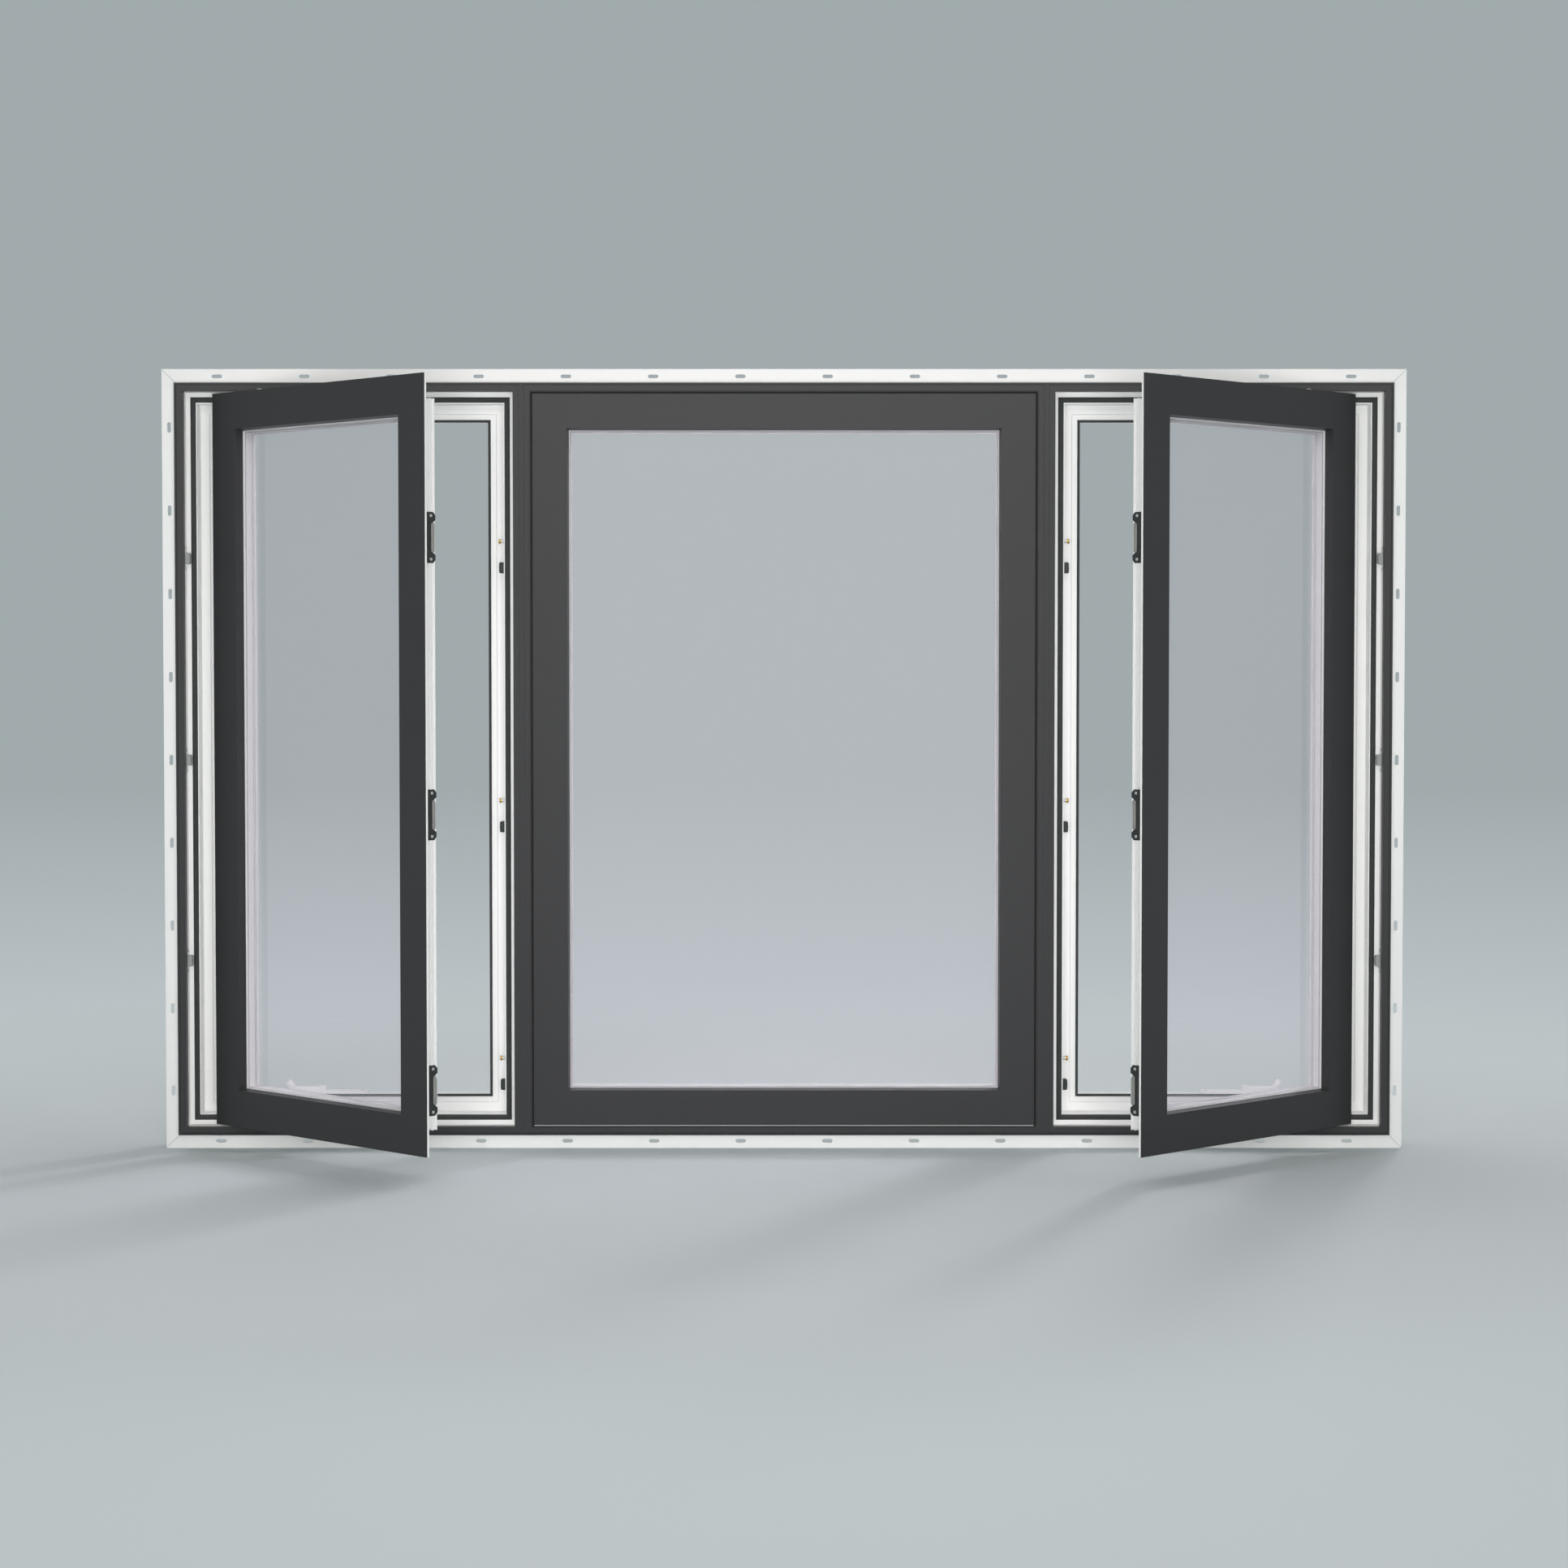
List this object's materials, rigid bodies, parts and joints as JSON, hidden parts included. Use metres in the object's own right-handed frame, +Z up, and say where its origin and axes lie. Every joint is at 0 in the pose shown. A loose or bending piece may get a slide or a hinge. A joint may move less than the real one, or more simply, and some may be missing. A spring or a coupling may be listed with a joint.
{
  "type": "triple casement window",
  "caption": "Wide window unit with a fixed centre light between two outward-opening crank casements, charcoal outside and white inside, with a slotted nailing fin all round.",
  "frame": {"origin": "back face of the bottom nailing fin, midway along it, on the line of its slots", "axes": "+X along the window to the right as seen from outdoors, +Y from outdoors into the room, +Z up"},
  "size_m": [2.497, 0.5601, 1.5691],
  "materials": {
    "white_vinyl": "extruded vinyl, satin",
    "charcoal_vinyl": "charcoal foil on vinyl, fine texture",
    "black_rubber": "extruded rubber, matt",
    "clear_glass": "float glass",
    "white_spacer": "foam spacer, light grey",
    "stainless_steel": "pressed stainless steel",
    "brass": "turned brass",
    "black_plastic": "moulded nylon",
    "grey_plastic": "moulded nylon, grey"
  },
  "bodies": {
    "frame": {"nail_fin_head": "white_vinyl", "nail_fin_sill": "white_vinyl", "nail_fin_left": "white_vinyl", "nail_fin_right": "white_vinyl", "left_frame": "white_vinyl", "right_frame": "white_vinyl", "centre_frame": "white_vinyl", "left_frame_cap": "charcoal_vinyl", "right_frame_cap": "charcoal_vinyl", "centre_frame_cap": "charcoal_vinyl", "mull_covers": "charcoal_vinyl", "left_gasket": "black_rubber", "right_gasket": "black_rubber", "left_inner_seal": "black_rubber", "right_inner_seal": "black_rubber", "fixed_sash": "white_vinyl", "fixed_sash_skin": "charcoal_vinyl", "fixed_glass": "clear_glass", "fixed_spacer": "white_spacer", "hinge_tracks": "stainless_steel", "left_operator": "white_vinyl", "right_operator": "white_vinyl", "left_crank": "white_vinyl", "right_crank": "white_vinyl", "lock_pins": "brass", "lock_guides": "black_plastic", "lock_levers": "white_vinyl", "snubbers": "grey_plastic"},
    "left_hinge": {"left_support_arms": "stainless_steel"},
    "left_casement": {"left_sash": "white_vinyl", "left_sash_skin": "charcoal_vinyl", "left_sash_glass": "clear_glass", "left_sash_spacer": "white_spacer", "left_sash_bars": "stainless_steel", "left_operator_rail": "stainless_steel", "left_keepers": "black_plastic", "left_keeper_ramps": "stainless_steel"},
    "left_crank_arm": {"left_operator_arm": "stainless_steel"},
    "right_hinge": {"right_support_arms": "stainless_steel"},
    "right_casement": {"right_sash": "white_vinyl", "right_sash_skin": "charcoal_vinyl", "right_sash_glass": "clear_glass", "right_sash_spacer": "white_spacer", "right_sash_bars": "stainless_steel", "right_operator_rail": "stainless_steel", "right_keepers": "black_plastic", "right_keeper_ramps": "stainless_steel"},
    "right_crank_arm": {"right_operator_arm": "stainless_steel"}
  },
  "joints": [
    {"name": "left_hinge_swing", "type": "hinge", "parent": "frame", "child": "left_hinge", "pos_m": [-0.945, -0.008, 0.7], "axis": [0, 0, 1], "range_deg": [-43.15, 36.85]},
    {"name": "left_sash_swing", "type": "hinge", "parent": "left_hinge", "child": "left_casement", "pos_m": [-1.03401, -0.09144, 0.7], "axis": [0, 0, -1], "range_deg": [-86.3, 73.7]},
    {"name": "left_operator_swing", "type": "hinge", "parent": "frame", "child": "left_crank_arm", "pos_m": [-0.834, -0.003, 0.045], "axis": [0, 0, 1], "range_deg": [-28.32, 24.18]},
    {"name": "right_hinge_swing", "type": "hinge", "parent": "frame", "child": "right_hinge", "pos_m": [0.945, -0.008, 0.7], "axis": [0, 0, -1], "range_deg": [-43.15, 36.85]},
    {"name": "right_sash_swing", "type": "hinge", "parent": "right_hinge", "child": "right_casement", "pos_m": [1.03401, -0.09144, 0.7], "axis": [0, 0, 1], "range_deg": [-86.3, 73.7]},
    {"name": "right_operator_swing", "type": "hinge", "parent": "frame", "child": "right_crank_arm", "pos_m": [0.834, -0.003, 0.045], "axis": [0, 0, -1], "range_deg": [-28.32, 24.18]}
  ],
  "couplings": [
    {"joint": "left_sash_swing", "follows": "left_hinge_swing", "ratio": 2},
    {"joint": "left_operator_swing", "follows": "left_hinge_swing", "ratio": 0.656},
    {"joint": "right_sash_swing", "follows": "right_hinge_swing", "ratio": 2},
    {"joint": "right_operator_swing", "follows": "right_hinge_swing", "ratio": 0.656}
  ]
}
